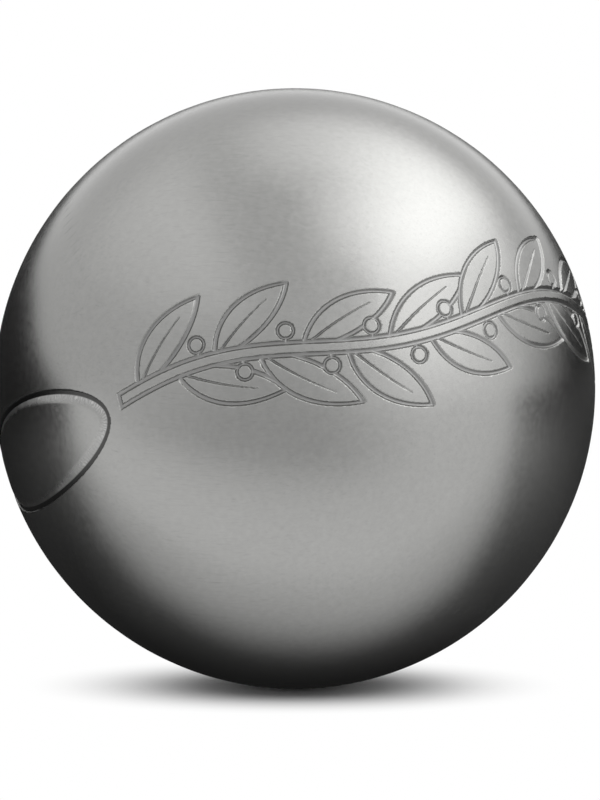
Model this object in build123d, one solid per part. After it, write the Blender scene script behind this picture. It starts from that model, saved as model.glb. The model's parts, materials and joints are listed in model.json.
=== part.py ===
"""Hollow steel petanque boule, in millimetres.

Two half-shells pressed from thick steel plate are bevelled at their rims, set a root gap apart and
joined by one weld that runs right round the ball. The weld is turned flush outside and keeps its root
bead inside. An oval channel is stamped into the front shell round a plain pad.

The origin is the centre of the ball, +Z is up as the ball lies, and +Y is the weld axis: the front
shell is the one on the -Y side.
"""

import os
from math import cos, hypot, radians, sin, sqrt, tan

from build123d import *

# Ball
ball_diameter = 74.0
wall_thickness = 6.15

# Weld joint between the two rims
root_gap = 1.2
root_land = 1.8
groove_angle = 60.0
root_bead_width = 4.0
root_bead_height = 0.9

# Oval channel round a plain pad: lengths and widths are measured along the surface of the ball
oval_length = 35.9
oval_width = 13.5
channel_depth = 0.45
channel_floor_width = 0.6
pad_riser_height = 0.05
pad_slope_width = 1.4
oval_azimuth = -42.7
oval_elevation = -9.7
oval_roll = 19.2

ball_radius = ball_diameter / 2
cavity_radius = ball_radius - wall_thickness
half_gap = root_gap / 2
pad_slope_height = channel_depth - pad_riser_height
bevel_slope = tan(radians(groove_angle / 2))
edge_tolerance = 1e-3
edge_places = (0, 0.3, 0.7)


def on_sphere(radius, along_axis):
    """Point of the half-section on a sphere of this radius, at this distance along the weld axis."""
    return (sqrt(radius**2 - along_axis**2), along_axis)


def bevel_mouth():
    """Point of the half-section where the bevel of the +Y rim runs out through the ball's surface."""
    land_radius = cavity_radius + root_land
    start = half_gap - bevel_slope * land_radius
    a = 1 + bevel_slope**2
    b = bevel_slope * start
    c = start**2 - ball_radius**2
    return on_sphere(ball_radius, start + bevel_slope * (sqrt(b**2 - a * c) - b) / a)


def mirrored(point):
    """The same point of the half-section on the other side of the weld."""
    return (point[0], -point[1])


bevel_outer = bevel_mouth()
bevel_inner = (cavity_radius + root_land, half_gap)
land_inner = on_sphere(cavity_radius, half_gap)
bead_toe = on_sphere(cavity_radius, root_bead_width / 2)
bead_crown = (cavity_radius - root_bead_height, 0)


def sphere_arc(start, end):
    """Arc about the ball's centre from one point of the half-section to another."""
    middle = (start[0] + end[0], start[1] + end[1])
    scale = hypot(*start) / hypot(*middle)
    return ThreePointArc(start, (middle[0] * scale, middle[1] * scale), end)


def half_shell():
    """Half-shell on the +Y side: outer sphere, bevel, root land and cavity, turned about the weld axis."""
    outer_pole = (0, ball_radius)
    inner_pole = (0, cavity_radius)
    outline = [
        sphere_arc(outer_pole, bevel_outer),
        Line(bevel_outer, bevel_inner),
        Line(bevel_inner, land_inner),
        sphere_arc(land_inner, inner_pole),
        Line(inner_pole, outer_pole),
    ]
    return revolve(make_face(outline), Axis.Y)


def weld_seam():
    """Weld metal: fills the groove and the root gap, flush outside, with a low round bead inside."""
    outline = [
        sphere_arc(mirrored(bevel_outer), bevel_outer),
        Line(bevel_outer, bevel_inner),
        Line(bevel_inner, land_inner),
        sphere_arc(land_inner, bead_toe),
        ThreePointArc(bead_toe, bead_crown, mirrored(bead_toe)),
        sphere_arc(mirrored(bead_toe), mirrored(land_inner)),
        Line(mirrored(land_inner), mirrored(bevel_inner)),
        Line(mirrored(bevel_inner), mirrored(bevel_outer)),
    ]
    return revolve(make_face(outline), Axis.Y)


def oval_plane():
    """Plane through the ball's centre, facing out through the pad, with X along the oval."""
    azimuth, elevation, roll = (radians(a) for a in (oval_azimuth, oval_elevation, oval_roll))
    outward = Vector(sin(azimuth) * cos(elevation), -cos(azimuth) * cos(elevation), sin(elevation))
    level = Vector(cos(azimuth), sin(azimuth), 0)
    along = level * cos(roll) + outward.cross(level) * sin(roll)
    return Plane(origin=(0, 0, 0), x_dir=along, z_dir=outward)


def oval_cone(inset):
    """Oval cone from the ball's centre outwards: the channel's outline, drawn in by this much on the surface."""
    length_slope = tan((oval_length / 2 - inset) / ball_radius)
    width_slope = tan((oval_width / 2 - inset) / ball_radius)
    plane = oval_plane()
    sections = [
        plane.offset(level) * Ellipse(length_slope * level, width_slope * level)
        for level in (cavity_radius / 2, ball_radius + wall_thickness)
    ]
    return loft(sections, ruled=True)


def pad_edges(shell):
    """Edges round the top of the pad: the free-form ones on the ball's surface inside the channel."""
    on_surface = [
        edge
        for edge in shell.edges().filter_by(GeomType.BSPLINE)
        if all(abs((edge @ place).length - ball_radius) < edge_tolerance for place in edge_places)
    ]
    shortest = min(edge.length for edge in on_surface)
    return [edge for edge in on_surface if edge.length < shortest + edge_tolerance]


def stamped(shell):
    """The shell with the channel: an upright outer wall, a flat floor and a slope up to the pad."""
    channel = oval_cone(0) - oval_cone(channel_floor_width) - Sphere(ball_radius - channel_depth)
    cut = shell - channel
    return chamfer(pad_edges(cut), pad_slope_height, pad_slope_width)


front_half_shell = stamped(mirror(half_shell(), Plane.XZ))
rear_half_shell = half_shell()

os.makedirs("parts", exist_ok=True)
pieces = {
    "front_half_shell": front_half_shell,
    "rear_half_shell": rear_half_shell,
    "weld_seam": weld_seam(),
}
for name, solid in pieces.items():
    export_step(solid, f"parts/{name}.step")
steel_density = 7.85e-3
total = sum(solid.volume for solid in pieces.values())
print(f"steel {total:.0f} mm3, mass {total * steel_density:.0f} g")
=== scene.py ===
"""Petanque boule: a hollow steel ball with a stamped oval pad and an engraved laurel branch.

The file is laid out as an add-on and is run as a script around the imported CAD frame. Each outer surface is
worked out on directions from the ball's centre. How deep the steel lies below the sphere there follows from
the distances to the channel round the pad and to the strokes of the branch, and the mesh is split finer at
a cut. Lengths are in metres, in the frame of the CAD part: +Z up, +Y the weld axis, the origin at the
ball's centre.
"""

import json
from math import cos, pi, radians, sin, sqrt

import bpy
import numpy as np
from bpy.props import FloatProperty, FloatVectorProperty, IntProperty, PointerProperty
from bpy.types import Operator, Panel, PropertyGroup
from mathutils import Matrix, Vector


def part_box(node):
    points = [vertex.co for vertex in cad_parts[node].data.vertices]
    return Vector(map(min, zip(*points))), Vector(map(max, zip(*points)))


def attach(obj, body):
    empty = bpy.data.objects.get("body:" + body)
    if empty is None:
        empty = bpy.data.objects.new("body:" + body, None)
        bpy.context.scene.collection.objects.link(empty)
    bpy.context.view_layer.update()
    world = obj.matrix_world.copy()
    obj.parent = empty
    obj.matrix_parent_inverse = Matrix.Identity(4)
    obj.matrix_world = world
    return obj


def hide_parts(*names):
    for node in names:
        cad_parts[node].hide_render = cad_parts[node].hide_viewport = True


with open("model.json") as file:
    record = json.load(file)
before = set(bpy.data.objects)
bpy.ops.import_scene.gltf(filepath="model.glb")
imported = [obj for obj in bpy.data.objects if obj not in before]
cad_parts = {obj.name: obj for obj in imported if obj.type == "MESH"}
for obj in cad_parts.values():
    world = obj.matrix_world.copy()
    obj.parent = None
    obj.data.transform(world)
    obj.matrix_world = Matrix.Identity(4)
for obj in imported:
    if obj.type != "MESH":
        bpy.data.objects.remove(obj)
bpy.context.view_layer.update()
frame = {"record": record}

bl_info = {
    "name": "Petanque boule",
    "version": (1, 0, 0),
    "blender": (4, 5, 0),
    "location": "3D View > Sidebar > Boule",
    "description": "Builds a hollow steel petanque boule with a stamped oval pad and an engraved branch",
    "category": "Add Mesh",
}

MM = 0.001
FAR = 1.0
TINY = 1e-12
CONTACT = next(mount for mount in frame["record"]["mounts"] if mount["name"] == "ground_contact")
BALL_RADIUS = -CONTACT["pos_m"][2]
SEAM_HALF_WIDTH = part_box("weld_seam")[1].y


# Settings that a user changes


def length(name, description, default):
    """A length, given in metres."""
    return FloatProperty(
        name=name, description=description, default=default, subtype="DISTANCE", unit="LENGTH", precision=5
    )


def angle(name, description, degrees):
    """An angle, given in degrees and kept in radians."""
    return FloatProperty(
        name=name, description=description, default=radians(degrees), subtype="ANGLE", unit="ROTATION"
    )


def share(name, description, default):
    """A number from 0 to 1."""
    return FloatProperty(
        name=name, description=description, default=default, min=0, max=1, subtype="FACTOR"
    )


def colour(name, description, default):
    """A linear colour."""
    return FloatVectorProperty(name=name, description=description, default=default, size=3, subtype="COLOR")


class BouleBall(PropertyGroup):
    """Sizes of the ball, its wall and its weld."""

    radius: length("Radius", "Outer radius of the ball", BALL_RADIUS)
    wall: length("Wall", "Thickness of the shells", 6.15 * MM)
    seam_half_width: length("Seam", "Half the width of the weld at the ball's surface", SEAM_HALF_WIDTH)
    root_half_gap: length("Root gap", "Half the gap between the rims at the root of the weld", 0.6 * MM)
    root_land: length("Root land", "Height of the flat of each rim", 1.8 * MM)
    bead_half_width: length("Bead width", "Half the width of the root bead inside", 2.0 * MM)
    bead_height: length("Bead height", "Height of the root bead inside", 0.9 * MM)
    grid: IntProperty(name="Grid", description="Squares along each side of a half-shell's grid", default=64)
    fine: length("Fine", "Longest edge in a stroke or in the channel", 0.14 * MM)
    rear_fine: length("Rear fine", "Longest edge in a stroke of the rear half-shell", 0.17 * MM)
    growth: share("Growth", "How fast edges may lengthen away from a stroke", 1.0)


class BoulePad(PropertyGroup):
    """Oval pad in the front half-shell, with a channel stamped round it, sized along the ball's surface."""

    length: length("Length", "Length of the channel's outer edge", 35.9 * MM)
    width: length("Width", "Width of the channel's outer edge", 13.5 * MM)
    depth: length("Depth", "Depth of the channel below the ball", 0.25 * MM)
    wall_run: length("Wall", "How far the outer wall runs in from the edge", 0.15 * MM)
    floor_end: length("Floor", "Distance from the edge to the inner side of the channel's floor", 0.65 * MM)
    slope_run: length("Slope", "How far the slope runs from the channel up to the pad", 1.1 * MM)
    azimuth: angle("Azimuth", "Turn of its middle from the front, to the right", -42.7)
    elevation: angle("Elevation", "Rise of its middle above the ball's equator", -9.7)
    roll: angle("Roll", "Turn of its length from level", 19.2)


class BouleBranch(PropertyGroup):
    """Laurel branch engraved round the ball, from one tip of the oval pad to the other."""

    axis: FloatVectorProperty(
        name="Axis",
        description="Normal of the belt that the branch follows",
        default=(-0.302, 0.122, 0.946),
        size=3,
        subtype="XYZ",
    )
    clearance: length("Clearance", "Gap between the channel and the cut end of the branch", 2.0 * MM)
    waves: IntProperty(name="Waves", description="Waves of the stem round the ball", default=4)
    wave_height: length("Wave height", "How far the stem swings to each side", 1.5 * MM)
    stem_width: length("Stem width", "Width of the stem between its outlines", 1.5 * MM)
    lead: length("Lead", "Bare stem before the first leaf", 3.0 * MM)
    pitch: length("Pitch", "Step along the stem from one leaf to the next", 5.2 * MM)
    leaf_length: length("Leaf length", "Length of a leaf", 13.0 * MM)
    leaf_width: length("Leaf width", "Width of a leaf", 4.5 * MM)
    leaf_angle: angle("Leaf angle", "Angle between a leaf and the stem", 42)
    leaf_bend: length("Leaf bend", "Radius that a leaf bends at, towards the stem's tip", 36.0 * MM)
    berry_radius: length("Berry radius", "Radius of a berry", 0.95 * MM)
    berry_height: length("Berry height", "Distance from the stem to the middle of a berry", 2.2 * MM)
    berry_step: length("Berry step", "How far a berry sits before its leaf", 1.9 * MM)
    groove_width: length("Groove width", "Width of an outline's groove", 0.7 * MM)
    groove_depth: length("Groove depth", "Depth of an outline's groove", 0.3 * MM)
    rib_width: length("Rib width", "Width of a leaf's middle rib at its base", 0.5 * MM)


class BouleSteel(PropertyGroup):
    """Finish of the steel, with the tints of its painted shade and painted highlight."""

    tint: colour("Steel", "Colour of the polished steel", (0.41, 0.41, 0.4))
    # Painted shade: a darker tint in the branch's grooves stands in for the shade that falls in them; the
    # milled roughness and bumps are real.
    groove_shade_tint: colour("Groove", "Colour of the milled floor of a groove", (0.32, 0.32, 0.315))
    slope_tint: colour("Slope", "Colour of the hatched slope round the pad", (0.38, 0.38, 0.375))
    # Painted highlight: a lighter tint on the slope's ridges stands in for the light that they catch.
    ridge_highlight_tint: colour("Ridge", "Colour of the bright ridges on the slope", (0.62, 0.62, 0.61))
    # Painted shade: a near-black tint on the channel's wall and floor stands in for the shade in the
    # channel.
    channel_shade_tint: colour("Channel", "Colour of the dull floor of the channel", (0.09, 0.09, 0.088))
    roughness: share("Roughness", "Roughness of the satin surface", 0.24)


class BouleStage(PropertyGroup):
    """Camera and light."""

    azimuth: angle("Camera azimuth", "Turn of the camera from the front, to the right", 20)
    elevation: angle("Camera elevation", "Rise of the camera above the ball's equator", 6)
    distance: length("Camera distance", "From the ball's centre to the camera", 0.8)
    key_level: FloatProperty(name="Key level", description="Radiance of the key softbox", default=2.45)
    flag_level: share("Flag level", "Radiance of the black flags", 0.012)
    lamp_power: FloatProperty(
        name="Lamp", description="Power of the lamp that lights the floor", default=2.0, unit="POWER"
    )
    world_level: share("Ambient level", "Radiance of the surroundings on matt surfaces", 0.9)


# Shapes on the ball


def unit(vectors):
    """Each vector divided by its length."""
    return vectors / np.linalg.norm(vectors, axis=-1, keepdims=True)


def smooth(x):
    """Smooth step from 0 at x = 0 to 1 at x = 1."""
    x = np.clip(x, 0, 1)
    return x * x * (3 - 2 * x)


def faded(x, ends, soft):
    """Smooth rise from 0 at the first end over one soft width, and fall to 0 at the other end."""
    return smooth((x - ends[0]) / soft[0]) * smooth((ends[1] - x) / soft[1])


def grid_of(first, second):
    """Two coordinates over a grid, the first one along its rows."""
    return np.meshgrid(first, second, indexing="ij")


def sphere_direction(azimuth, elevation):
    """Direction with a turn from the front (-Y) to the right (+X) and a rise above the horizon."""
    level = np.cos(elevation)
    return np.stack([np.sin(azimuth) * level, -np.cos(azimuth) * level, np.sin(elevation)], axis=-1)


def pad_axes(pad):
    """Unit vectors of the pad: outwards through its middle, along it and across it."""
    outward = sphere_direction(pad.azimuth, pad.elevation)
    level = np.array([cos(pad.azimuth), sin(pad.azimuth), 0.0])
    along = level * cos(pad.roll) + np.cross(outward, level) * sin(pad.roll)
    return outward, along, np.cross(outward, along)


def ellipse_place(x, y, a, b, rounds=4):
    """Distance inside an ellipse with half-axes a and b, negative outside, and the nearest point's turn.

    The nearest point is found by repeated steps: the circle that fits the ellipse best at the last guess
    has its centre on the evolute, and the next guess lies on the line from that centre to the place. All
    four quarters are folded into one, and the turn runs from 0 at the end of the first axis to a quarter.
    """
    x, y = np.abs(x), np.abs(y)
    tx = ty = np.full_like(x, sqrt(0.5))
    for _ in range(rounds):
        centre_x = (a * a - b * b) * tx**3 / a
        centre_y = (b * b - a * a) * ty**3 / b
        radius = np.hypot(a * tx - centre_x, b * ty - centre_y)
        reach = np.maximum(np.hypot(x - centre_x, y - centre_y), TINY)
        tx = np.clip(((x - centre_x) * radius / reach + centre_x) / a, 0, 1)
        ty = np.clip(((y - centre_y) * radius / reach + centre_y) / b, 0, 1)
        norm = np.maximum(np.hypot(tx, ty), TINY)
        tx, ty = tx / norm, ty / norm
    distance = np.hypot(a * tx - x, b * ty - y)
    return np.where((x / a) ** 2 + (y / b) ** 2 < 1, distance, -distance), np.arctan2(ty, tx)


def pad_place(directions, ball, pad, edge_steps=90):
    """Distance inside the channel's outer edge and arc length along that edge, from an end of the oval.

    A direction is laid flat by its angle from the middle of the pad.
    """
    outward, along, across = pad_axes(pad)
    x, y, z = directions @ along, directions @ across, directions @ outward
    sideways = np.maximum(np.hypot(x, y), TINY)
    arc = ball.radius * np.arctan2(sideways, z) / sideways
    a, b = pad.length / 2, pad.width / 2
    inside, turn = ellipse_place(arc * x, arc * y, a, b)
    turns = np.linspace(0, pi / 2, edge_steps + 1)
    steps = np.hypot(a * np.diff(np.cos(turns)), b * np.diff(np.sin(turns)))
    return inside, np.interp(turn, turns, np.append(0, np.cumsum(steps)))


def channel_depth(inside, pad):
    """Depth of the channel: a steep wall, a level floor, then a slope that runs up to the pad.

    With x and t from 0 to 1 along the wall and the slope, it is the smaller of the smooth step of x and
    (1 - t) ^ power, times the full depth.
    """
    slope_power = 1.5
    slope = np.clip((inside - pad.floor_end) / pad.slope_run, 0, 1)
    return pad.depth * np.minimum(smooth(inside / pad.wall_run), (1 - slope) ** slope_power)


class Carving:
    """Depth of the strokes cut so far at each place, and how far each place is from the nearest stroke."""

    def __init__(self, count):
        self.depth = np.zeros(count)
        self.clear = np.full(count, FAR)

    def cover(self, inside):
        """Wipes what lies under a shape on top; inside is negative within its outline."""
        hidden = inside < 0
        self.depth[hidden] = 0
        self.clear[hidden] = FAR

    def cut(self, distance, half_width, depth, power):
        """Cuts a stroke of depth times 1 - (distance / half width) ^ power."""
        reach = np.abs(distance) / half_width
        self.depth = np.maximum(self.depth, depth * np.clip(1 - reach**power, 0, None))
        self.clear = np.minimum(self.clear, np.abs(distance) - half_width)


def belt_place(directions, ball, pad, branch):
    """Arc lengths of a direction along the belt, from the pad to the right, and across it, upwards."""
    up = unit(np.array(branch.axis))
    outward = pad_axes(pad)[0]
    ahead = unit(outward - up * (outward @ up))
    right = np.cross(up, ahead)
    along = ball.radius * (np.arctan2(directions @ right, directions @ ahead) % (2 * pi))
    return along, ball.radius * np.arcsin(np.clip(directions @ up, -1, 1))


def almond(x, y, half_length, half_width):
    """Distance outside an almond, the overlap of two circles, with its length along x; negative inside."""
    radius = (half_length**2 + half_width**2) / (2 * half_width)
    offset = radius - half_width
    x, y = np.abs(x), np.abs(y)
    past_tip = (x - half_length) * offset > y * half_length
    return np.where(past_tip, np.hypot(x - half_length, y), np.hypot(x, y + offset) - radius)


class Stem:
    """Sine wave along the belt, and what grows from it.

    Leaves leave the stem in turn to each side, one pitch apart, and the last one ends the branch. A berry
    sits before each leaf on its side. Lengths and angles of the leaves swing a little with a sine of their
    number times a beat.
    """

    outline_power, rib_power = 2.3, 1.5
    rib_share, rib_taper = 0.76, 0.6
    length_swing, length_beat = 0.06, 2.4
    angle_swing, angle_beat = radians(3.0), 4.1

    def __init__(self, ball, pad, branch):
        self.branch = branch
        self.start = pad.length / 2 + branch.clearance
        span = 2 * (pi * ball.radius - self.start)
        self.turns = 2 * pi * branch.waves / span
        self.last = int((span - branch.lead - branch.leaf_length) / branch.pitch)
        self.end = self.base(self.last) + branch.stem_width
        reach = branch.leaf_length * sin(branch.leaf_angle) + branch.leaf_width / 2
        self.half_width = branch.wave_height + reach

    def base(self, number):
        """Place along the belt where a leaf leaves the stem."""
        return self.start + self.branch.lead + self.branch.pitch * number

    def height(self, along):
        """Place of the stem's middle across the belt."""
        return self.branch.wave_height * np.sin(self.turns * (along - self.start))

    def slope(self, along):
        """Angle of the stem against the belt."""
        return np.arctan(self.branch.wave_height * self.turns * np.cos(self.turns * (along - self.start)))

    def beside(self, along, across, foot, side):
        """Place along and away from the stem, counted from a foot on it, with one side turned upwards."""
        tilt = self.slope(foot)
        x, y = along - foot, across - self.height(foot)
        return x * np.cos(tilt) + y * np.sin(tilt), side * (y * np.cos(tilt) - x * np.sin(tilt))

    def numbers(self, along, first):
        """Numbers of the leaves on one side that can reach a place, the further ones first."""
        nearest = np.floor((along - self.base(first)) / (2 * self.branch.pitch))
        return [first + 2 * (nearest + step) for step in (-1, 0, 1)]

    def carve(self, carving, along, across):
        """Cuts the leaves, then the berries in front of them, then the stem in front of both."""
        self.carve_leaves(carving, along, across)
        self.carve_berries(carving, along, across)
        self.carve_stem(carving, along, across)

    def carve_leaves(self, carving, along, across):
        """Outline of each almond leaf, bent as x^2 / (2 radius), and its tapering middle rib."""
        branch = self.branch
        half_groove = branch.groove_width / 2
        for side, first in ((1, 0), (-1, 1)):
            for number in self.numbers(along, first):
                grown = (number >= 0) & (number <= self.last)
                x, y = self.beside(along, across, self.base(number), side)
                turn = np.where(number < self.last, branch.leaf_angle, 0)
                turn = turn + self.angle_swing * np.sin(self.angle_beat * number)
                swing = self.length_swing * np.sin(self.length_beat * number)
                leaf_length = branch.leaf_length * (1 + swing)
                x, y = x * np.cos(turn) + y * np.sin(turn), y * np.cos(turn) - x * np.sin(turn)
                y = y + x**2 / (2 * branch.leaf_bend)
                outline = almond(x - leaf_length / 2, y, leaf_length / 2, branch.leaf_width / 2)
                outline = np.where(grown, outline, FAR)
                carving.cover(outline)
                carving.cut(outline, half_groove, branch.groove_depth, self.outline_power)
                along_rib = np.clip(x / (self.rib_share * leaf_length), 0, 1)
                rib = np.hypot(y, np.maximum(x - self.rib_share * leaf_length, 0) + np.maximum(-x, 0))
                rib = np.where(grown, rib, FAR)
                taper = 1 - self.rib_taper * along_rib
                carving.cut(rib, branch.rib_width / 2 * taper, branch.groove_depth * taper, self.rib_power)

    def carve_berries(self, carving, along, across):
        """Round berry on a short straight stalk before each leaf but the first two."""
        branch = self.branch
        for side, first in ((1, 2), (-1, 3)):
            for number in self.numbers(along + branch.berry_step, first):
                grown = (number >= first) & (number < self.last)
                x, y = self.beside(along, across, self.base(number) - branch.berry_step, side)
                stalk = np.hypot(x, np.maximum(y - branch.berry_height, 0) + np.maximum(-y, 0))
                berry = np.hypot(x, y - branch.berry_height) - branch.berry_radius
                stalk = np.where(grown, stalk, FAR)
                berry = np.where(grown, berry, FAR)
                carving.cut(stalk, branch.rib_width / 2, branch.groove_depth, self.outline_power)
                carving.cover(berry)
                carving.cut(berry, branch.rib_width / 2, branch.groove_depth, self.outline_power)

    def carve_stem(self, carving, along, across):
        """Two outlines beside the wave, closed by a straight cut at the start and by the last leaf."""
        branch = self.branch
        outline = np.abs(across - self.height(along)) * np.cos(self.slope(along)) - branch.stem_width / 2
        outline = np.maximum(outline, np.maximum(self.start - along, along - self.end))
        carving.cover(outline)
        carving.cut(outline, branch.groove_width / 2, branch.groove_depth, self.outline_power)


class Surface:
    """Outer surface of the whole ball: depth below the sphere for each direction, and what is cut there."""

    probe = 0.02 * MM
    steep = 0.9

    def __init__(self, scene, fine):
        self.fine = fine
        self.ball = scene.boule_ball
        self.pad = scene.boule_pad
        self.branch = scene.boule_branch
        self.stem = Stem(self.ball, self.pad, self.branch)

    def strokes(self, directions):
        """Depth of the branch's strokes and distance to the nearest one, or outside the belt to the belt."""
        along, across = belt_place(directions, self.ball, self.pad, self.branch)
        edge = self.stem.half_width
        near = np.flatnonzero(np.abs(across) < edge)
        carving = Carving(len(near))
        self.stem.carve(carving, along[near], across[near])
        depth = np.zeros(len(directions))
        clear = np.maximum(np.abs(across) - edge, 0) + self.fine
        depth[near] = carving.depth
        clear[near] = carving.clear
        return depth, clear

    def depth(self, directions):
        """Depth below the sphere for each direction."""
        inside, _ = pad_place(directions, self.ball, self.pad)
        return np.maximum(channel_depth(inside, self.pad), self.strokes(directions)[0])

    def longest_edge(self, directions):
        """Longest edge wanted at each direction: fine at a cut, and longer with the distance from it."""
        inside, _ = pad_place(directions, self.ball, self.pad)
        middle = (self.pad.floor_end + self.pad.slope_run) / 2
        channel = np.abs(inside - middle) - middle
        clear = np.maximum(np.minimum(self.strokes(directions)[1], channel), 0)
        return self.fine + self.ball.growth * clear

    def normals(self, directions):
        """Normal of the displaced sphere: the direction plus the slope of the depth along two tangents."""
        upright, sideways = np.array([0.0, 0.0, 1.0]), np.array([1.0, 0.0, 0.0])
        helper = np.where(np.abs(directions[:, 2:]) < self.steep, upright, sideways)
        first = unit(np.cross(helper, directions))
        second = np.cross(directions, first)
        step = self.probe / self.ball.radius
        normal = directions.copy()
        for tangent in (first, second):
            ahead = self.depth(unit(directions + step * tangent))
            behind = self.depth(unit(directions - step * tangent))
            normal += tangent * ((ahead - behind) / (2 * self.probe))[:, None]
        return unit(normal)


# Meshes

# Triangles that replace one whose edges are split: corners 0 to 2, then the middles of edges 01, 12 and 20.
# The key has bit 1, 2 and 4 set for those edges.
SPLITS = {
    0: [(0, 1, 2)],
    1: [(0, 3, 2), (3, 1, 2)],
    2: [(0, 1, 4), (0, 4, 2)],
    4: [(0, 1, 5), (5, 1, 2)],
    3: [(3, 1, 4), (0, 3, 4), (0, 4, 2)],
    6: [(4, 2, 5), (0, 1, 4), (0, 4, 5)],
    5: [(0, 3, 5), (3, 1, 2), (3, 2, 5)],
    7: [(0, 3, 5), (3, 1, 4), (5, 4, 2), (3, 4, 5)],
}


def refined(directions, faces, surface, rounds=6):
    """Splits each edge that is longer than the surface wants at its middle, in several rounds.

    An edge is split for both of its triangles at once, so the mesh stays closed.
    """
    radius = surface.ball.radius
    for _ in range(rounds):
        count = len(directions)
        edges = np.sort(faces[:, [[0, 1], [1, 2], [2, 0]]], axis=2)
        keys, of_face = np.unique(edges[..., 0] * count + edges[..., 1], return_inverse=True)
        of_face = of_face.reshape(-1, 3)
        ends = directions[np.stack([keys // count, keys % count])]
        middles = unit(ends[0] + ends[1])
        lengths = radius * np.linalg.norm(ends[0] - ends[1], axis=1)
        split = lengths > surface.longest_edge(middles)
        if not split.any():
            break
        new_number = count + np.cumsum(split) - 1
        corners = np.concatenate([faces, new_number[of_face]], axis=1)
        pattern = split[of_face] @ np.array([1, 2, 4])
        faces = np.concatenate(
            [
                corners[pattern == key][:, np.array(triangles)].reshape(-1, 3)
                for key, triangles in SPLITS.items()
            ]
        )
        directions = np.concatenate([directions, middles[split]])
    return directions, faces


def half_shell_grid(ball, side):
    """Directions and triangles of a half-shell's outside, on the -Y or +Y side.

    A square grid is drawn into a disc by the equal-area map that keeps squares nested as circles, and the
    disc into the cap by sin(polar / 2) = radius times sin(edge / 2), so all its cells have one area.
    """
    steps = np.linspace(-1, 1, ball.grid + 1)
    a, b = (grid.ravel() for grid in grid_of(steps, steps))
    wide = np.abs(a) > np.abs(b)
    reach = np.where(wide, a, b)
    ratio = np.where(wide, b, a) / np.where(reach == 0, 1, reach)
    turn = np.where(wide, pi / 4 * ratio, pi / 2 - pi / 4 * ratio)
    edge = np.arccos(ball.seam_half_width / ball.radius)
    polar = 2 * np.arcsin(np.clip(np.abs(reach), 0, 1) * np.sin(edge / 2))
    turn = turn + np.where(reach < 0, pi, 0)
    directions = np.stack(
        [np.sin(polar) * np.cos(turn), side * np.cos(polar), np.sin(polar) * np.sin(turn)], axis=1
    )
    corner = np.arange(ball.grid)[:, None] * (ball.grid + 1) + np.arange(ball.grid)[None, :]
    return directions, facing_out(directions, square_triangles(corner.ravel(), ball.grid + 1, 1))


def seam_grid(ball, rows=6):
    """Directions and triangles of the weld's outside: rings between the two edges of the seam."""
    columns = 4 * ball.grid
    rise = np.linspace(-1, 1, rows + 1)[:, None] * np.arcsin(ball.seam_half_width / ball.radius)
    turn = np.arange(columns)[None, :] * 2 * pi / columns
    directions = np.stack(
        [np.cos(rise) * np.cos(turn), np.sin(rise) + 0 * turn, np.cos(rise) * np.sin(turn)], axis=-1
    ).reshape(-1, 3)
    row, column = (grid.ravel() for grid in grid_of(np.arange(rows), np.arange(columns)))
    here, right = row * columns + column, row * columns + (column + 1) % columns
    faces = np.concatenate(
        [np.stack([here, right, right + columns], 1), np.stack([here, right + columns, here + columns], 1)]
    )
    return directions, facing_out(directions, faces)


def square_triangles(corner, down, right):
    """Two triangles for each square of a grid, given its corner and the steps to the next ones."""
    return np.concatenate(
        [
            np.stack([corner, corner + down, corner + down + right], axis=1),
            np.stack([corner, corner + down + right, corner + right], axis=1),
        ]
    )


def facing_out(points, faces):
    """Turns each triangle so that it faces away from the ball's centre."""
    a, b, c = (points[faces[:, k]] for k in range(3))
    inwards = np.einsum("ij,ij->i", np.cross(b - a, c - a), a + b + c) < 0
    return np.where(inwards[:, None], faces[:, ::-1], faces)


def rim_loops(points, faces):
    """Open edges of a surface as loops round the weld axis, from -Y to +Y: vertex numbers and angles."""
    count = len(points)
    edges = np.sort(faces[:, [[0, 1], [1, 2], [2, 0]]].reshape(-1, 2), axis=1)
    keys, uses = np.unique(edges[:, 0] * count + edges[:, 1], return_counts=True)
    open_keys = keys[uses == 1]
    rim = np.unique(np.concatenate([open_keys // count, open_keys % count]))
    loops = []
    for part in (rim[points[rim, 1] < 0], rim[points[rim, 1] > 0]):
        if len(part):
            turn = np.round(np.arctan2(points[part, 2], points[part, 0]) % (2 * pi), 9) % (2 * pi)
            order = np.argsort(turn)
            loops.append((part[order], turn[order]))
    return loops


def bridge(first, second):
    """Triangles between two rings of vertices round the weld axis, each in the order of its angles."""
    (a, turn_a), (b, turn_b) = first, second
    end_a, end_b = np.append(turn_a[1:], 2 * pi), np.append(turn_b[1:], 2 * pi)
    across_a = np.searchsorted(end_b, end_a, side="left") % len(b)
    across_b = np.searchsorted(end_a, end_b, side="right") % len(a)
    return np.concatenate(
        [
            np.stack([a, np.roll(a, -1), b[across_a]], axis=1),
            np.stack([a[across_b], np.roll(b, -1), b], axis=1),
        ]
    )


def lathe(points, start, section, ball, end=None):
    """Rings of a half-section turned about the weld axis, from a rim loop to an end loop or to a pole."""
    columns = 2 * ball.grid
    turn = np.arange(columns) * 2 * pi / columns
    faces, ring = [], start
    for radius, along in section:
        circle = np.stack([radius * np.cos(turn), np.full(columns, along), radius * np.sin(turn)], axis=1)
        inner = (len(points) + np.arange(columns), turn)
        points = np.concatenate([points, circle])
        faces.append(bridge(ring, inner))
        ring = inner
    if end is None:
        pole = np.array([[0.0, np.sign(along) * np.hypot(radius, along), 0.0]])
        end = (np.array([len(points)]), np.array([0.0]))
        points = np.concatenate([points, pole])
        faces.append(np.stack([ring[0], np.roll(ring[0], -1), np.full(columns, end[0][0])], axis=1))
    else:
        faces.append(bridge(ring, end))
    return points, np.concatenate(faces)


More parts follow.
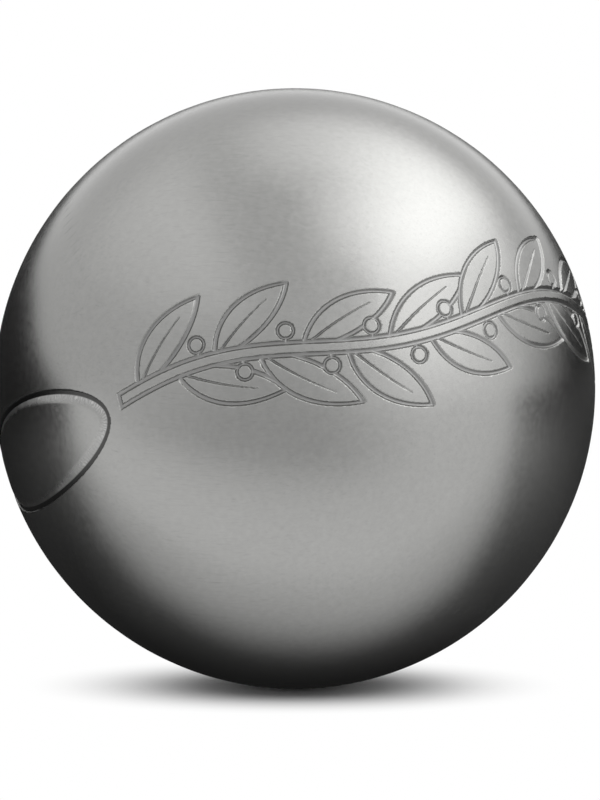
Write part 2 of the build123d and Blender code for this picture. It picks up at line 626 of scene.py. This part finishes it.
def closed_piece(name, surface, grid, section, through):
    """Mesh object of one piece: its outside, refined and carved, closed by a turned inside.

    Its attributes are the depth of the strokes as a share of a full groove, and the distance inside the
    oval and the place along its edge, both in millimetres.
    """
    near_edge = (-1, 4)
    directions, faces = refined(*grid, surface)
    strokes, _ = surface.strokes(directions)
    inside, sweep = pad_place(directions, surface.ball, surface.pad)
    points = directions * (surface.ball.radius - surface.depth(directions))[:, None]
    loops = rim_loops(points, faces)
    points, inner = lathe(points, loops[0], section, surface.ball, loops[1] if through else None)
    rim = loops[0][0]
    follows = ((faces == rim[0]).any(1) & (faces == rim[1]).any(1)).argmax()
    place = list(faces[follows])
    same_way = place[(place.index(rim[0]) + 1) % 3] == rim[1]
    inner = inner[:, ::-1] if same_way else inner
    outside = len(directions)
    normals = np.zeros((3 * (len(faces) + len(inner)), 3))
    normals[: 3 * len(faces)] = surface.normals(directions)[faces.ravel()]
    faces = np.concatenate([faces, inner])
    attributes = {key: np.zeros(len(points)) for key in ("carve", "inside", "sweep")}
    attributes["carve"][:outside] = strokes / surface.branch.groove_depth
    attributes["inside"][:outside] = np.clip(inside / MM, *near_edge)
    attributes["sweep"][:outside] = sweep / MM
    return mesh_object(name, points, faces, normals, attributes)


def mesh_object(name, points, faces, normals, attributes):
    """Object with a triangle mesh, its corner normals and one number per vertex for each attribute."""
    mesh = bpy.data.meshes.new(name)
    mesh.vertices.add(len(points))
    mesh.vertices.foreach_set("co", points.ravel())
    mesh.loops.add(faces.size)
    mesh.loops.foreach_set("vertex_index", faces.ravel().astype(np.int32))
    mesh.polygons.add(len(faces))
    mesh.polygons.foreach_set("loop_start", np.arange(0, faces.size, 3, dtype=np.int32))
    for key, values in attributes.items():
        mesh.attributes.new(key, "FLOAT", "POINT").data.foreach_set("value", values)
    mesh.update(calc_edges=True)
    mesh.normals_split_custom_set(normals)
    piece = bpy.data.objects.new(name, mesh)
    bpy.context.scene.collection.objects.link(piece)
    return piece


# Materials


def node_group(name, inputs, outputs):
    """Empty shader node group with named sockets: returns the group and its input and output nodes."""
    group = bpy.data.node_groups.new(name, "ShaderNodeTree")
    for socket, kind, default in inputs:
        made = group.interface.new_socket(socket, in_out="INPUT", socket_type=kind)
        if default is not None:
            made.default_value = default
    for socket, kind in outputs:
        group.interface.new_socket(socket, in_out="OUTPUT", socket_type=kind)
    return group, group.nodes.new("NodeGroupInput"), group.nodes.new("NodeGroupOutput")


def math_node(tree, operation, first, second=None, third=None, clamp=False):
    """Math node whose operands are sockets or numbers; returns its result."""
    node = tree.nodes.new("ShaderNodeMath")
    node.operation = operation
    node.use_clamp = clamp
    for socket, value in zip(node.inputs, (first, second, third)):
        if isinstance(value, bpy.types.NodeSocket):
            tree.links.new(value, socket)
        elif value is not None:
            socket.default_value = value
    return node.outputs[0]


def ramp_node(tree, value, low, high, to_low, to_high):
    """Value carried from one range to another, clamped and smooth at both ends."""
    node = tree.nodes.new("ShaderNodeMapRange")
    node.interpolation_type = "SMOOTHSTEP"
    tree.links.new(value, node.inputs["Value"])
    for socket, number in zip(("From Min", "From Max", "To Min", "To Max"), (low, high, to_low, to_high)):
        node.inputs[socket].default_value = number
    return node.outputs["Result"]


def noise_node(tree, vector, scale, detail=2.0):
    """Noise in three dimensions at a number of features per metre."""
    node = tree.nodes.new("ShaderNodeTexNoise")
    node.inputs["Scale"].default_value = scale
    node.inputs["Detail"].default_value = detail
    tree.links.new(vector, node.inputs["Vector"])
    return node.outputs["Fac"]


def scratches_group():
    """Fine polishing scratches: noise stretched along many directions, thinned to lines and added up."""
    layers = 9
    lengthwise, crosswise = 320.0, 4200.0
    turn_step = (pi * (3 - sqrt(5)), 2.1, 1.3)
    shift_step = (1, -1, 2)
    line_edge, line_middle = 0.6, 0.76
    group, into, out = node_group(
        "polishing_scratches", [("Vector", "NodeSocketVector", None)], [("Height", "NodeSocketFloat")]
    )
    total = None
    for layer in range(layers):
        mapping = group.nodes.new("ShaderNodeMapping")
        mapping.inputs["Rotation"].default_value = [layer * step for step in turn_step]
        mapping.inputs["Scale"].default_value = (lengthwise, crosswise, crosswise)
        mapping.inputs["Location"].default_value = [layer * step for step in shift_step]
        group.links.new(into.outputs["Vector"], mapping.inputs["Vector"])
        lines = noise_node(group, mapping.outputs["Vector"], 1.0)
        lines = ramp_node(group, lines, line_edge, line_middle, 0, 1)
        total = lines if total is None else math_node(group, "ADD", total, lines)
    group.links.new(math_node(group, "DIVIDE", total, layers), out.inputs["Height"])
    return group


def mottle_group():
    """Faint cloudiness of a hand-polished surface: large and small noise, from 0 to 1 about a half."""
    cloud_scale, grain_scale, grain_share = 70.0, 1300.0, 0.65
    group, into, out = node_group(
        "polish_mottle", [("Vector", "NodeSocketVector", None)], [("Mottle", "NodeSocketFloat")]
    )
    clouds = noise_node(group, into.outputs["Vector"], cloud_scale, detail=3.0)
    grain = noise_node(group, into.outputs["Vector"], grain_scale, detail=4.0)
    clouds = math_node(group, "MULTIPLY", clouds, 1 - grain_share)
    total = math_node(group, "MULTIPLY_ADD", grain, grain_share, clouds)
    group.links.new(total, out.inputs["Mottle"])
    return group


def milling_group():
    """Tool marks of milled grooves: fine noise that shows where the steel is cut, and a mask that also
    places the painted shade in the grooves.
    """
    mark_scale, cut_edge, cut_floor = 3000.0, 0.05, 0.7
    group, into, out = node_group(
        "milling_marks",
        [("Vector", "NodeSocketVector", None), ("Cut", "NodeSocketFloat", 0.0)],
        [("Mask", "NodeSocketFloat"), ("Height", "NodeSocketFloat")],
    )
    mask = ramp_node(group, into.outputs["Cut"], cut_edge, cut_floor, 0, 1)
    marks = noise_node(group, into.outputs["Vector"], mark_scale)
    group.links.new(mask, out.inputs["Mask"])
    group.links.new(math_node(group, "MULTIPLY", mask, marks), out.inputs["Height"])
    return group


def hatch_group(pad):
    """Tool marks across the slope round the pad: ridges along the sweep, broken up by noise, which carry a
    bump and a painted highlight.

    One mask covers the slope, one its ridges, which fade towards the pad, and one the floor of the channel,
    which takes painted shade.
    Distances are in millimetres, as in the attributes that the mesh carries.
    """
    spacing, soft = 0.5, 0.1
    jitter, jitter_scale = 16.0, 1500.0
    patch_scale, patch_range, patch_low = 420.0, (0.35, 0.65), 0.3
    wall, floor_end = pad.wall_run / MM, pad.floor_end / MM
    slope_end = floor_end + pad.slope_run / MM
    group, into, out = node_group(
        "slope_hatch",
        [
            ("Vector", "NodeSocketVector", None),
            ("Inside", "NodeSocketFloat", 0.0),
            ("Sweep", "NodeSocketFloat", 0.0),
        ],
        [("Slope", "NodeSocketFloat"), ("Ridges", "NodeSocketFloat"), ("Floor", "NodeSocketFloat")],
    )
    inside = into.outputs["Inside"]
    slope = math_node(
        group,
        "MULTIPLY",
        ramp_node(group, inside, floor_end - soft, floor_end + soft, 0, 1),
        ramp_node(group, inside, floor_end + soft, slope_end, 1, 0),
    )
    # Mask of the channel's wall and floor, where the painted shade goes
    floor = math_node(
        group,
        "MULTIPLY",
        ramp_node(group, inside, 0, wall, 0, 1),
        ramp_node(group, inside, floor_end - soft, floor_end + soft, 1, 0),
    )
    phase = math_node(group, "MULTIPLY", into.outputs["Sweep"], 2 * pi / spacing)
    uneven = noise_node(group, into.outputs["Vector"], jitter_scale, detail=1.0)
    phase = math_node(group, "MULTIPLY_ADD", uneven, jitter, phase)
    ridges = math_node(group, "MULTIPLY_ADD", math_node(group, "SINE", phase), 0.5, 0.5)
    patches = noise_node(group, into.outputs["Vector"], patch_scale, detail=1.0)
    patches = ramp_node(group, patches, *patch_range, patch_low, 1)
    ridges = math_node(group, "MULTIPLY", math_node(group, "MULTIPLY", ridges, patches), slope)
    group.links.new(slope, out.inputs["Slope"])
    group.links.new(ridges, out.inputs["Ridges"])
    group.links.new(floor, out.inputs["Floor"])
    return group


def mixed(tree, factor, base, tint):
    """Colour socket turned towards a tint by a factor."""
    node = tree.nodes.new("ShaderNodeMix")
    node.data_type = "RGBA"
    tree.links.new(factor, node.inputs["Factor"])
    tree.links.new(base, node.inputs["A"])
    node.inputs["B"].default_value = (*tint, 1)
    return node.outputs["Result"]


def attribute_value(tree, name):
    """Number that a mesh carries at each vertex."""
    node = tree.nodes.new("ShaderNodeAttribute")
    node.attribute_name = name
    return node.outputs["Fac"]


def place_group(tree, group, links):
    """Places a node group in a tree and links the given sockets to its inputs."""
    node = tree.nodes.new("ShaderNodeGroup")
    node.node_tree = group
    for name, socket in links.items():
        tree.links.new(socket, node.inputs[name])
    return node


def new_material(name):
    """Material with nodes: returns it and its node tree."""
    material = bpy.data.materials.new(name)
    material.use_nodes = True
    return material, material.node_tree


def steel_groups(pad):
    """The shared effects, built once."""
    makers = {
        "polishing_scratches": scratches_group,
        "polish_mottle": mottle_group,
        "milling_marks": milling_group,
        "slope_hatch": lambda: hatch_group(pad),
    }
    return {name: bpy.data.node_groups.get(name) or make() for name, make in makers.items()}


def steel_material(name, steel, pad):
    """Satin steel: scratches and tool marks as bumps, mottle in tone and roughness, painted shade in the
    grooves and the channel, and a painted highlight on the slope's ridges.
    """
    tone_swing, scratch_tone = 0.13, 0.6
    mottle_range, rough_swing, cut_rough = (0.3, 0.7), 0.03, 0.08
    scratch_height, bump_depth = 0.6, 0.02 * MM
    material, tree = new_material(name)
    shader = tree.nodes["Principled BSDF"]
    shader.inputs["Metallic"].default_value = 1.0
    groups = steel_groups(pad)
    place = tree.nodes.new("ShaderNodeTexCoord").outputs["Object"]
    scratches = place_group(tree, groups["polishing_scratches"], {"Vector": place})
    mottle = place_group(tree, groups["polish_mottle"], {"Vector": place})
    carve, inside, sweep = (attribute_value(tree, name) for name in ("carve", "inside", "sweep"))
    milling = place_group(tree, groups["milling_marks"], {"Vector": place, "Cut": carve})
    hatch = place_group(tree, groups["slope_hatch"], {"Vector": place, "Inside": inside, "Sweep": sweep})

    tint = np.array(steel.tint)
    tone = tree.nodes.new("ShaderNodeMix")
    tone.data_type = "RGBA"
    tone.inputs["A"].default_value = (*((1 - tone_swing) * tint), 1)
    tone.inputs["B"].default_value = (*((1 + tone_swing) * tint), 1)
    tree.links.new(mottle.outputs["Mottle"], tone.inputs["Factor"])
    scratched = mixed(tree, scratches.outputs["Height"], tone.outputs["Result"], scratch_tone * tint)
    # Painted shade in the branch's grooves
    tone_with_painted_light = mixed(tree, milling.outputs["Mask"], scratched, steel.groove_shade_tint)
    tone_with_painted_light = mixed(tree, hatch.outputs["Slope"], tone_with_painted_light, steel.slope_tint)
    # Painted highlight on the slope's ridges
    tone_with_painted_light = mixed(tree, hatch.outputs["Ridges"], tone_with_painted_light, steel.ridge_highlight_tint)
    # Painted shade on the channel's floor
    tone_with_painted_light = mixed(tree, hatch.outputs["Floor"], tone_with_painted_light, steel.channel_shade_tint)
    tree.links.new(tone_with_painted_light, shader.inputs["Base Color"])

    rough_range = (steel.roughness - rough_swing, steel.roughness + rough_swing)
    rough = ramp_node(tree, mottle.outputs["Mottle"], *mottle_range, *rough_range)
    rough = math_node(tree, "MULTIPLY_ADD", milling.outputs["Mask"], cut_rough, rough)
    rough = math_node(tree, "MULTIPLY_ADD", hatch.outputs["Slope"], cut_rough, rough)
    tree.links.new(rough, shader.inputs["Roughness"])

    height = math_node(tree, "MULTIPLY", scratches.outputs["Height"], scratch_height)
    height = math_node(tree, "ADD", height, milling.outputs["Height"])
    height = math_node(tree, "ADD", height, hatch.outputs["Ridges"])
    bump = tree.nodes.new("ShaderNodeBump")
    bump.inputs["Strength"].default_value = 1.0
    bump.inputs["Distance"].default_value = bump_depth
    tree.links.new(height, bump.inputs["Height"])
    tree.links.new(bump.outputs["Normal"], shader.inputs["Normal"])
    return material


def dress(piece, node, slot, scene):
    """Puts a finished piece on the CAD frame: it rides on the one body and stands for its CAD node."""
    name = f"satin_{slot}"
    material = bpy.data.materials.get(name) or steel_material(name, scene.boule_steel, scene.boule_pad)
    piece.data.materials.append(material)
    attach(piece, "root")
    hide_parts(node)


# Operators


def rim_section(ball):
    """Half-section points of the +Y rim's bevel foot and of its land's foot on the cavity."""
    cavity = ball.radius - ball.wall
    bevel_foot = (cavity + ball.root_land, ball.root_half_gap)
    land_foot = (sqrt(cavity**2 - ball.root_half_gap**2), ball.root_half_gap)
    return bevel_foot, land_foot


class BOULE_OT_half_shells(Operator):
    """Makes the front and the rear half-shell, closed round the bevelled rim and the cavity"""

    bl_idname = "boule.half_shells"
    bl_label = "Half-shells"

    cavity_rings = 12

    def execute(self, context):
        scene = context.scene
        ball = scene.boule_ball
        cavity = ball.radius - ball.wall
        bevel_foot, land_foot = rim_section(ball)
        start = np.arcsin(ball.root_half_gap / cavity)
        rises = start + (pi / 2 - start) * np.arange(1, self.cavity_rings) / self.cavity_rings
        section = [bevel_foot, land_foot, *zip(cavity * np.cos(rises), cavity * np.sin(rises))]
        halves = {"front_half_shell": (-1, ball.fine), "rear_half_shell": (1, ball.rear_fine)}
        for node, (side, fine) in halves.items():
            turned = [(radius, side * along) for radius, along in section]
            grid = half_shell_grid(ball, side)
            piece = closed_piece(f"{node}_steel", Surface(scene, fine), grid, turned, through=False)
            dress(piece, node, "shell_steel", scene)
        return {"FINISHED"}


class BOULE_OT_weld_seam(Operator):
    """Makes the weld: flush with the ball outside, with a low round bead in the cavity"""

    bl_idname = "boule.weld_seam"
    bl_label = "Weld seam"

    bead_steps = 8

    def execute(self, context):
        scene = context.scene
        ball = scene.boule_ball
        cavity = ball.radius - ball.wall
        bevel_foot, land_foot = rim_section(ball)
        toe = sqrt(cavity**2 - ball.bead_half_width**2)
        crown = cavity - ball.bead_height
        along = np.linspace(-ball.bead_half_width, ball.bead_half_width, self.bead_steps + 1)
        bead = crown + (toe - crown) * (along / ball.bead_half_width) ** 2
        front = [(radius, -place) for radius, place in (bevel_foot, land_foot)]
        section = [*front, *zip(bead, along), land_foot, bevel_foot]
        surface = Surface(scene, ball.fine)
        piece = closed_piece("weld_seam_steel", surface, seam_grid(ball), section, through=True)
        dress(piece, "weld_seam", "weld_steel", scene)
        return {"FINISHED"}


# Stage


def mix_shader(tree, factor, first, second):
    """Mix of two shaders by a factor from 0 to 1."""
    mix = tree.nodes.new("ShaderNodeMixShader")
    for socket, output in zip(mix.inputs, (factor, first, second)):
        tree.links.new(output, socket)
    return mix.outputs["Shader"]


def background_shader(tree, lit, white):
    """Shows white to the eye, in reflections and through glass, and the lit shader to everything else."""
    path = tree.nodes.new("ShaderNodeLightPath")
    seen = math_node(tree, "ADD", path.outputs["Is Camera Ray"], path.outputs["Is Glossy Ray"], clamp=True)
    seen = math_node(tree, "ADD", seen, path.outputs["Is Transmission Ray"], clamp=True)
    return mix_shader(tree, seen, lit, white)


def dome_points(azimuth, elevation, distance):
    """Points on a sphere round the ball, for turns from the camera and rises in degrees."""
    return distance * sphere_direction(np.radians(azimuth), np.radians(elevation))


class BOULE_OT_stage(Operator):
    """Makes the white surroundings, the floor with the ball's shadow, the lamp, the cards and the camera"""

    bl_idname = "boule.stage"
    bl_label = "Stage"

    picture_width, picture_height = 600, 800
    ball_centre_px = (294.85, 388.55)
    ball_radius_px = 300.4
    floor_half_size, floor_tint = 4.0, (0.96, 0.96, 0.96, 1)
    shadow_core, shadow_edge, shadow_depth = 10 * MM, 34 * MM, 0.71
    lamp_turn, lamp_rise = radians(100), radians(60)
    lamp_distance, lamp_size = 1.2, 0.5

    # Turns from the camera, rises, and soft widths at the first, last, lower and upper edges, all in degrees
    dome_cards = {
        "grey_tent": dict(turn=(90, 400), rise=(-6, 89), soft=(12, 45, 1, 5), distance=2.4, level=0.73),
        "camera_shade": dict(turn=(-60, 32), rise=(-6, 26), soft=(50, 34, 1, 24), distance=0.75, level=0.6),
        "front_softbox": dict(
            turn=(34, 95), rise=(-12, 60), soft=(10, 38, 44, 16), distance=1.5, level=1.75
        ),
        "rim_strip": dict(turn=(132, 225), rise=(12, 24), soft=(35, 35, 2, 9), distance=0.85, level=1.2),
    }
    # Places to the right of the ball and away from the camera, and soft widths at those four edges
    ceiling_cards = {
        "fill_softbox": dict(
            sideways=(-2.5, -0.3), depth=(-2.2, 1.3), soft=(2.2, 0.33, 2.0, 1.1), height=1.0, level=1.07
        ),
        "key_softbox": dict(
            sideways=(-0.05, 1.45), depth=(-0.85, 1.5), soft=(0.72, 0.6, 0.75, 1.3), height=0.95
        ),
        "side_softbox": dict(
            sideways=(0.7, 3.6), depth=(-2.4, 1.4), soft=(0.5, 1.8, 1.6, 0.8), height=0.98, level=1.45
        ),
        "top_softbox": dict(
            sideways=(-0.4, 0.9), depth=(-0.12, 1.15), soft=(0.45, 0.5, 0.35, 0.6), height=0.97, level=1.22
        ),
    }

    def execute(self, context):
        scene = context.scene
        stage = scene.boule_stage
        scene.view_settings.view_transform = "Standard"
        self.surroundings(scene, stage)
        self.floor(scene, stage)
        self.lamp(scene, stage)
        self.cards(scene, stage)
        self.camera(scene, stage)
        return {"FINISHED"}

    def surroundings(self, scene, stage):
        """White all round to the eye and in the steel, a little lower on matt surfaces."""
        world = bpy.data.worlds.new("white_room")
        world.use_nodes = True
        tree = world.node_tree
        lit = tree.nodes["Background"]
        lit.inputs["Color"].default_value = (1, 1, 1, 1)
        lit.inputs["Strength"].default_value = stage.world_level
        white = tree.nodes.new("ShaderNodeBackground")
        white.inputs["Color"].default_value = (1, 1, 1, 1)
        shown = background_shader(tree, lit.outputs[0], white.outputs[0])
        tree.links.new(shown, tree.nodes["World Output"].inputs["Surface"])
        scene.world = world

    def floor(self, scene, stage):
        """White floor: lit, with the ball's shadow, round the contact, and plain white further out.

        The lit place is an oval, with its length across the camera's view.
        """
        half = self.floor_half_size
        height = -scene.boule_ball.radius
        mesh = bpy.data.meshes.new("floor")
        mesh.from_pydata(
            [(-half, -half, height), (half, -half, height), (half, half, height), (-half, half, height)],
            [],
            [(0, 1, 2, 3)],
        )
        floor = bpy.data.objects.new("floor", mesh)
        scene.collection.objects.link(floor)
        material, tree = new_material("floor_white")
        lit = tree.nodes["Principled BSDF"]
        lit.inputs["Base Color"].default_value = self.floor_tint
        lit.inputs["Roughness"].default_value = 1.0
        lit.inputs["Specular IOR Level"].default_value = 0.0
        white = tree.nodes.new("ShaderNodeEmission")
        place = tree.nodes.new("ShaderNodeMapping")
        place.vector_type = "TEXTURE"
        place.inputs["Location"].default_value = (0, 0, height)
        place.inputs["Rotation"].default_value = (0, 0, stage.azimuth)
        place.inputs["Scale"].default_value = (1, self.shadow_depth, 1)
        tree.links.new(tree.nodes.new("ShaderNodeTexCoord").outputs["Object"], place.inputs["Vector"])
        distance = tree.nodes.new("ShaderNodeVectorMath")
        distance.operation = "LENGTH"
        tree.links.new(place.outputs["Vector"], distance.inputs[0])
        fade = ramp_node(tree, distance.outputs["Value"], self.shadow_core, self.shadow_edge, 0, 1)
        seen = mix_shader(tree, fade, lit.outputs[0], white.outputs[0])
        shown = background_shader(tree, lit.outputs[0], seen)
        tree.links.new(shown, tree.nodes["Material Output"].inputs["Surface"])
        mesh.materials.append(material)

    def lamp(self, scene, stage):
        """Weak soft lamp on the key's side for the floor: the steel sees the key softbox instead."""
        light = bpy.data.lights.new("fill_lamp", "AREA")
        light.shape = "DISK"
        light.size = self.lamp_size
        light.energy = stage.lamp_power
        lamp = bpy.data.objects.new("fill_lamp", light)
        outward = Vector(sphere_direction(stage.azimuth + self.lamp_turn, self.lamp_rise))
        lamp.location = outward * self.lamp_distance
        lamp.rotation_mode = "QUATERNION"
        lamp.rotation_quaternion = outward.to_track_quat("Z", "Y")
        lamp.visible_glossy = False
        scene.collection.objects.link(lamp)

    def cards(self, scene, stage):
        """Softboxes, grey walls and black flags that only the steel sees."""
        for name, card in self.dome_cards.items():
            self.dome_card(scene, stage, name, **card)
        for name, card in self.ceiling_cards.items():
            self.ceiling_card(scene, stage, name, **card)
        self.back_flag(scene, stage)
        self.floor_flag(scene, stage)

    def dome_card(self, scene, stage, name, turn, rise, soft, distance, level, steps=60):
        """Part of a sphere round the ball between two turns and two rises, which fades out at its edges."""
        azimuth, elevation = grid_of(np.linspace(*turn, steps + 1), np.linspace(*rise, steps + 1))
        cover = faded(azimuth, turn, soft[:2]) * faded(elevation, rise, soft[2:])
        self.soft_card(scene, stage, name, dome_points(azimuth, elevation, distance), cover, level)

    def ceiling_card(self, scene, stage, name, sideways, depth, soft, height, level=None, steps=40):
        """Level card overhead that fades out at its edges: without a level of its own it has the key's."""
        x, y = grid_of(np.linspace(*sideways, steps + 1), np.linspace(*depth, steps + 1))
        cover = faded(x, sideways, soft[:2]) * faded(y, depth, soft[2:])
        points = np.stack([x, y, np.full_like(x, height)], axis=-1)
        self.soft_card(scene, stage, name, points, cover, stage.key_level if level is None else level)

    def back_flag(self, scene, stage, steps=60):
        """Black strip along the horizon behind the ball: higher on the left, where its end leans in.

        Its top rises by the lift over a run of turns, and its left end moves in by the lean for each degree
        of rise. Angles are in degrees.
        """
        turn, rise, distance = (92, 262), (-6, 14), 0.8
        low_top, lift, lift_start, lift_run = 11, 2.5, 145, 45
        lean, end_soft, top_soft = 2.35, (40, 7), 4
        azimuth, elevation = grid_of(np.linspace(*turn, steps + 1), np.linspace(*rise, steps + 1))
        top = low_top + lift * smooth((azimuth - lift_start) / lift_run)
        left_end = turn[1] - lean * np.maximum(elevation, 0)
        cover = faded(azimuth, (turn[0], left_end), end_soft) * smooth((top - elevation) / top_soft)
        points = dome_points(azimuth, elevation, distance)
        self.soft_card(scene, stage, "back_flag", points, cover, stage.flag_level)

    def floor_flag(self, scene, stage, steps=160):
        """Black sheet just above the floor, on a grid that is finest at the ball: x to the right, y away.

        It closes behind an edge that runs under the ball and bends at both sides. A thin veil starts before
        that edge, and the rest follows in a short and a long fade. A glow thins the sheet at the sides,
        most of all close to the ball. A weak shade lies in front, within some turns from the camera.
        """
        reach, lift, least = 1.5, 0.2 * MM, 0.06
        edge_middle, right_lean, right_end = -30.4 * MM, 0.12, 18 * MM
        left_lean, left_end, side_bend, side_start = 0.035, -40 * MM, 0.1, -37 * MM
        fade_middle, fade_gain, fade_start, fade_run = 15.5 * MM, 2.5 * MM, 18 * MM, 15 * MM
        short_share, long_ratio = 0.84, 2
        veil_left, veil_drop, drop_start, drop_run = 0.32, 0.07, -10 * MM, 30 * MM
        veil_lead, veil_run = 13.3 * MM, 16 * MM
        right_glow, left_glow, glow_run, glow_depth = 0.34, 0.15, 0.17, 0.05
        far_glow, far_run = 0.05, 0.25
        shade_level, shade_turn, shade_soft = 0.36, (-120, 50), (110, 44)
        shade_start, shade_run, shade_lean, lean_end = 0.05, 0.085, 0.15, 0.07

        spread = reach * np.linspace(-1, 1, steps + 1) ** 3
        x, y = grid_of(spread, spread)
        edge = edge_middle + right_lean * np.clip(x, 0, right_end) + left_lean * np.clip(x, left_end, 0)
        past = y - edge - side_bend * np.maximum(side_start - x, 0)
        fade = fade_middle + fade_gain * smooth((np.abs(x) - fade_start) / fade_run)
        veil = veil_left - veil_drop * smooth((x - drop_start) / drop_run)
        veil = veil * smooth((past + veil_lead) / veil_run)
        behind = short_share * smooth(past / fade) + (1 - short_share) * smooth(past / (long_ratio * fade))
        behind = 1 - (1 - veil) * (1 - behind)
        glow = right_glow * smooth(x / glow_run) + left_glow * smooth(-x / glow_run)
        glow = glow * np.exp(-np.maximum(y, 0) / glow_depth) + far_glow * smooth(x / far_run)
        shade = shade_level * faded(np.degrees(np.arctan2(x, -y)), shade_turn, shade_soft)
        lean = shade_lean * np.clip(x, -lean_end, lean_end)
        shade = shade * smooth((lean - y - shade_start) / shade_run)
        cover = least + (1 - least) * behind * (1 - glow) + shade
        points = np.stack([x, y, np.full_like(x, lift - scene.boule_ball.radius)], axis=-1)
        self.soft_card(scene, stage, "floor_flag", points, cover, stage.flag_level)

    def soft_card(self, scene, stage, name, points, cover, level):
        """Glowing card on a grid of points, seen in reflections only, and clear where its cover falls to 0.

        The points are to the right of the ball, away from the camera and up.
        """
        turn = stage.azimuth
        points = points @ np.array([[cos(turn), sin(turn), 0], [-sin(turn), cos(turn), 0], [0, 0, 1]])
        rows, columns = cover.shape
        corner = (np.arange(rows - 1)[:, None] * columns + np.arange(columns - 1)[None, :]).ravel()
        faces = np.stack([corner, corner + 1, corner + columns + 1, corner + columns], axis=1)
        mesh = bpy.data.meshes.new(name)
        mesh.from_pydata(points.reshape(-1, 3).tolist(), [], faces.tolist())
        mesh.attributes.new("cover", "FLOAT", "POINT").data.foreach_set("value", cover.ravel())
        card = bpy.data.objects.new(name, mesh)
        scene.collection.objects.link(card)
        material, tree = new_material(name)
        glow = tree.nodes.new("ShaderNodeEmission")
        glow.inputs["Strength"].default_value = level
        clear = tree.nodes.new("ShaderNodeBsdfTransparent")
        shown = mix_shader(tree, attribute_value(tree, "cover"), clear.outputs[0], glow.outputs[0])
        tree.links.new(shown, tree.nodes["Material Output"].inputs["Surface"])
        mesh.materials.append(material)
        card.visible_camera = False
        card.visible_diffuse = False
        card.visible_shadow = False
        card.visible_transmission = False

    def camera(self, scene, stage):
        """Camera at the wanted angle, framed so that the ball's outline has its place in the picture."""
        ball = scene.boule_ball
        data = bpy.data.cameras.new("camera")
        data.sensor_width = 36.0
        outline = ball.radius / sqrt(stage.distance**2 - ball.radius**2)
        data.lens = data.sensor_width * self.ball_radius_px / self.picture_height / outline
        camera = bpy.data.objects.new("camera", data)
        back = Vector(sphere_direction(stage.azimuth, stage.elevation))
        right = Vector((0, 0, 1)).cross(back).normalized()
        up = back.cross(right)
        scale = ball.radius / self.ball_radius_px
        aim = right * (self.picture_width / 2 - self.ball_centre_px[0]) * scale
        aim -= up * (self.picture_height / 2 - self.ball_centre_px[1]) * scale
        camera.location = back * stage.distance
        camera.rotation_mode = "QUATERNION"
        camera.rotation_quaternion = (camera.location - aim).to_track_quat("Z", "Y")
        scene.collection.objects.link(camera)
        scene.camera = camera


class BOULE_PT_sidebar(Panel):
    """Settings and steps of the boule"""

    bl_idname = "BOULE_PT_sidebar"
    bl_label = "Petanque boule"
    bl_space_type = "VIEW_3D"
    bl_region_type = "UI"
    bl_category = "Boule"

    def draw(self, context):
        scene = context.scene
        for operator in OPERATORS:
            self.layout.operator(operator.bl_idname)
        for key, group in GROUPS.items():
            box = self.layout.box()
            for name in group.__annotations__:
                box.prop(getattr(scene, key), name)


GROUPS = {
    "boule_ball": BouleBall,
    "boule_pad": BoulePad,
    "boule_branch": BouleBranch,
    "boule_steel": BouleSteel,
    "boule_stage": BouleStage,
}
OPERATORS = (BOULE_OT_half_shells, BOULE_OT_weld_seam, BOULE_OT_stage)


def register():
    """Registers the settings, the operators and the panel."""
    for item in (*GROUPS.values(), *OPERATORS, BOULE_PT_sidebar):
        bpy.utils.register_class(item)
    for key, group in GROUPS.items():
        setattr(bpy.types.Scene, key, PointerProperty(type=group))


def unregister():
    """Takes away what register set up."""
    for key in GROUPS:
        delattr(bpy.types.Scene, key)
    for item in (BOULE_PT_sidebar, *reversed(OPERATORS), *reversed(GROUPS.values())):
        bpy.utils.unregister_class(item)


def main():
    """Builds the boule and its stage."""
    register()
    bpy.ops.boule.half_shells()
    bpy.ops.boule.weld_seam()
    bpy.ops.boule.stage()


if __name__ == "__main__":
    main()
